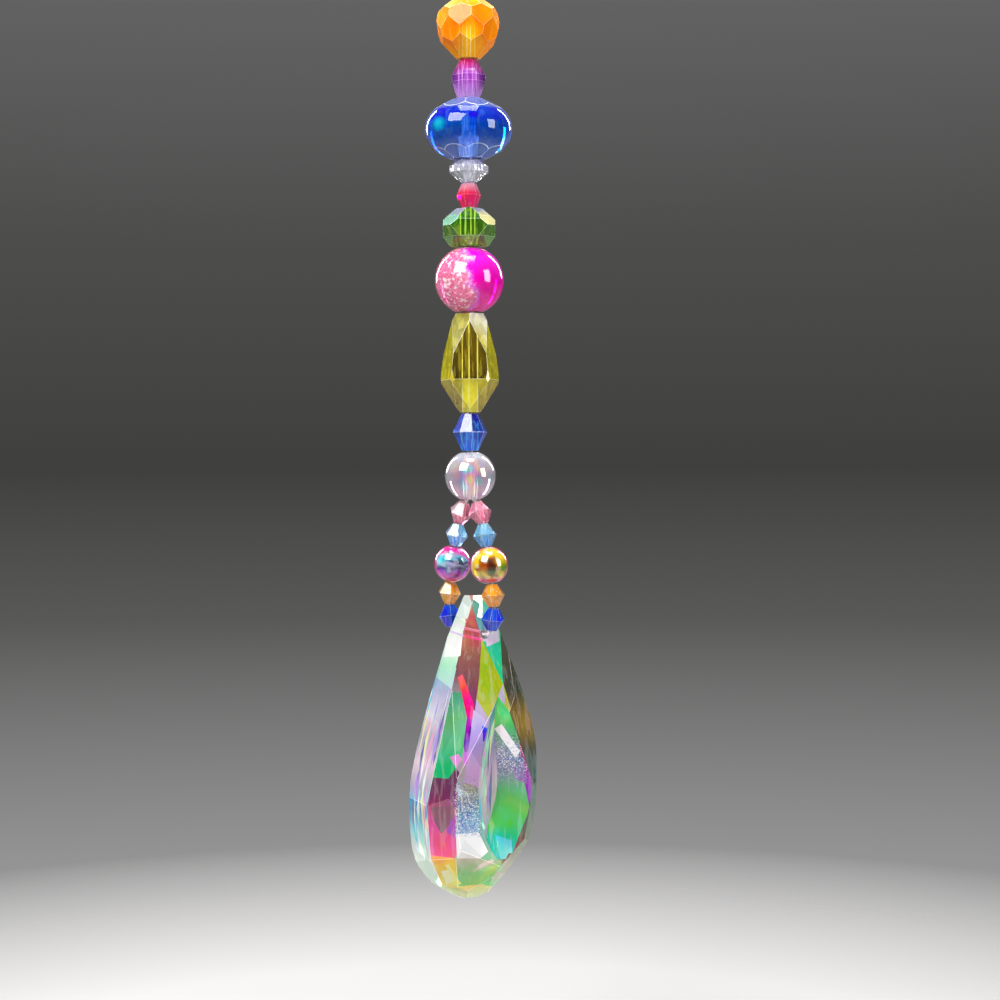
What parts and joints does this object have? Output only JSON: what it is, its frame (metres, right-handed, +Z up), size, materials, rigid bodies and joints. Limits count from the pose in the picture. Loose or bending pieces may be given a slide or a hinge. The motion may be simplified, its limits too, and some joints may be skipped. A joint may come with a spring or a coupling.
{
  "type": "crystal suncatcher",
  "caption": "Hanging ring on a beaded thread that parts into two short strands and carries a twisted, faceted iridescent drop prism.",
  "frame": {"origin": "top of the hanging ring's inner edge, where the hook bears", "axes": "+Z up along the thread, so the object hangs down -Z; X along the drop prism's drilled hole, with the left strand at -X"},
  "size_m": [0.0167, 0.0186, 0.1646],
  "materials": {
    "silver_wire": "bright plated wire",
    "silver_tube": "bright plated tube",
    "nylon_thread": "clear nylon",
    "orange_acrylic": "clear, polished",
    "purple_acrylic": "clear, polished",
    "cobalt_acrylic": "clear, polished",
    "clear_acrylic": "clear, fluted",
    "red_crystal": "faceted, polished",
    "green_crystal": "faceted, iridescent coat",
    "pink_crackle": "crackled inside, polished",
    "yellow_crystal": "faceted, iridescent coat",
    "royal_crystal": "faceted, iridescent coat",
    "clear_aurora": "iridescent coat",
    "rose_crystal": "faceted, polished",
    "sky_crystal": "faceted, iridescent coat",
    "rainbow_glass": "full iridescent coat",
    "amber_crystal": "faceted, iridescent coat",
    "aurora_crystal": "faceted, iridescent coat"
  },
  "bodies": {
    "root": {"hanging_ring": "silver_wire", "crimp_tube": "silver_tube", "beading_thread": "nylon_thread", "orange_round_bead": "orange_acrylic", "purple_barrel_bead": "purple_acrylic", "cobalt_rondelle_bead": "cobalt_acrylic", "clear_fluted_bead": "clear_acrylic", "red_bicone_bead": "red_crystal", "green_rondelle_bead": "green_crystal", "pink_crackle_bead": "pink_crackle", "yellow_drop_bead": "yellow_crystal", "royal_bicone_bead": "royal_crystal", "clear_round_bead": "clear_aurora", "left_rose_bicone_bead": "rose_crystal", "left_sky_bicone_bead": "sky_crystal", "left_rainbow_round_bead": "rainbow_glass", "left_amber_bicone_bead": "amber_crystal", "left_royal_bicone_bead": "royal_crystal", "right_rose_bicone_bead": "rose_crystal", "right_sky_bicone_bead": "sky_crystal", "right_rainbow_round_bead": "rainbow_glass", "right_amber_bicone_bead": "amber_crystal", "right_royal_bicone_bead": "royal_crystal", "drop_prism": "aurora_crystal"}
  },
  "joints": []
}
